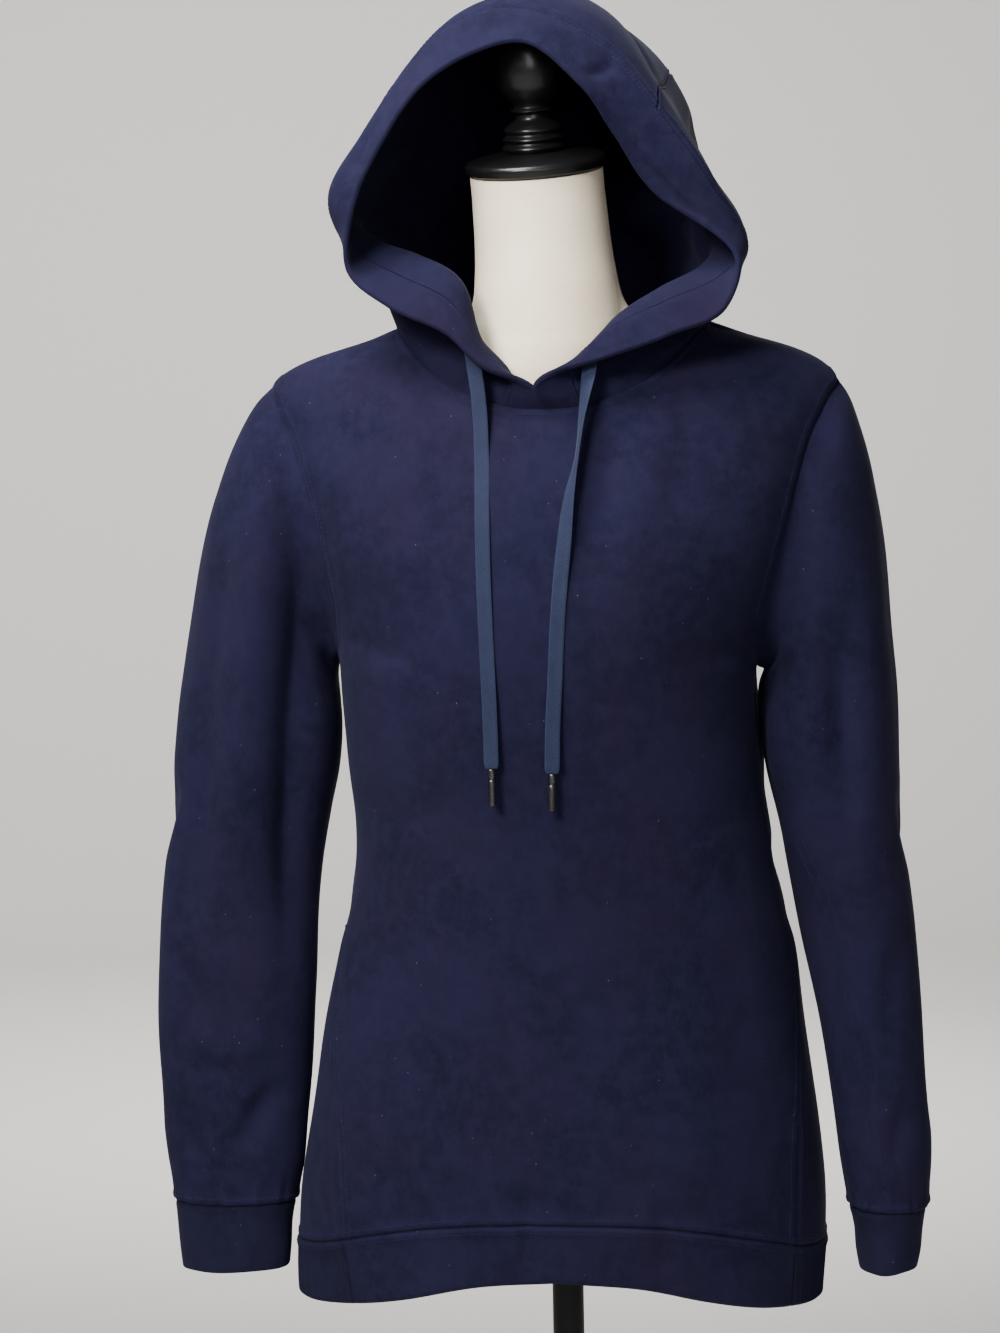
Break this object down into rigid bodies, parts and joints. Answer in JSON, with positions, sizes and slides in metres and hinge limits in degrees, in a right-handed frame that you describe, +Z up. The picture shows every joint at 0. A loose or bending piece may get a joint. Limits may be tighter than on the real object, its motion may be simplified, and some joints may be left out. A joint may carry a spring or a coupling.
{
  "type": "pullover hoodie on a dress form",
  "caption": "Long-sleeved pullover hoodie with flat drawcords and ribbed cuffs, worn on a limbless dress form with a pole stand.",
  "frame": {"origin": "centre of the base's underside, on the floor", "axes": "+Z up; the front of the garment faces -Y; the wearer's left sleeve is on the +X side"},
  "size_m": [0.5975, 0.36, 1.6676],
  "materials": {
    "body_front": "brushed sweatshirt fleece, matt",
    "body_back": "brushed sweatshirt fleece, matt",
    "sleeve_left": "brushed sweatshirt fleece, matt",
    "sleeve_right": "brushed sweatshirt fleece, matt",
    "cuff_left": "ribbed knit, matt",
    "cuff_right": "ribbed knit, matt",
    "hem_band_front": "brushed sweatshirt fleece, matt",
    "hem_band_back": "brushed sweatshirt fleece, matt",
    "hem_rib_left": "ribbed knit, matt",
    "hem_rib_right": "ribbed knit, matt",
    "hood_casing": "brushed sweatshirt fleece, matt",
    "hood_centre": "brushed sweatshirt fleece, matt",
    "hood_side_left": "brushed sweatshirt fleece, matt",
    "hood_side_right": "brushed sweatshirt fleece, matt",
    "drawcord_left": "flat woven tape, matt",
    "drawcord_right": "flat woven tape, matt",
    "aglet_left": "gunmetal, satin",
    "aglet_right": "gunmetal, satin",
    "dress_form": "fine jersey cover, matt",
    "neck_cap": "black gloss paint on turned wood",
    "finial": "black gloss paint on turned wood",
    "pole": "black satin paint",
    "base": "black satin paint"
  },
  "bodies": {
    "root": {"body_front": "body_front", "body_back": "body_back", "sleeve_left": "sleeve_left", "sleeve_right": "sleeve_right", "cuff_left": "cuff_left", "cuff_right": "cuff_right", "hem_band_front": "hem_band_front", "hem_band_back": "hem_band_back", "hem_rib_left": "hem_rib_left", "hem_rib_right": "hem_rib_right", "hood_casing": "hood_casing", "hood_centre": "hood_centre", "hood_side_left": "hood_side_left", "hood_side_right": "hood_side_right", "drawcord_left": "drawcord_left", "drawcord_right": "drawcord_right", "aglet_left": "aglet_left", "aglet_right": "aglet_right", "dress_form": "dress_form", "neck_cap": "neck_cap", "finial": "finial", "pole": "pole", "base": "base"}
  },
  "joints": []
}
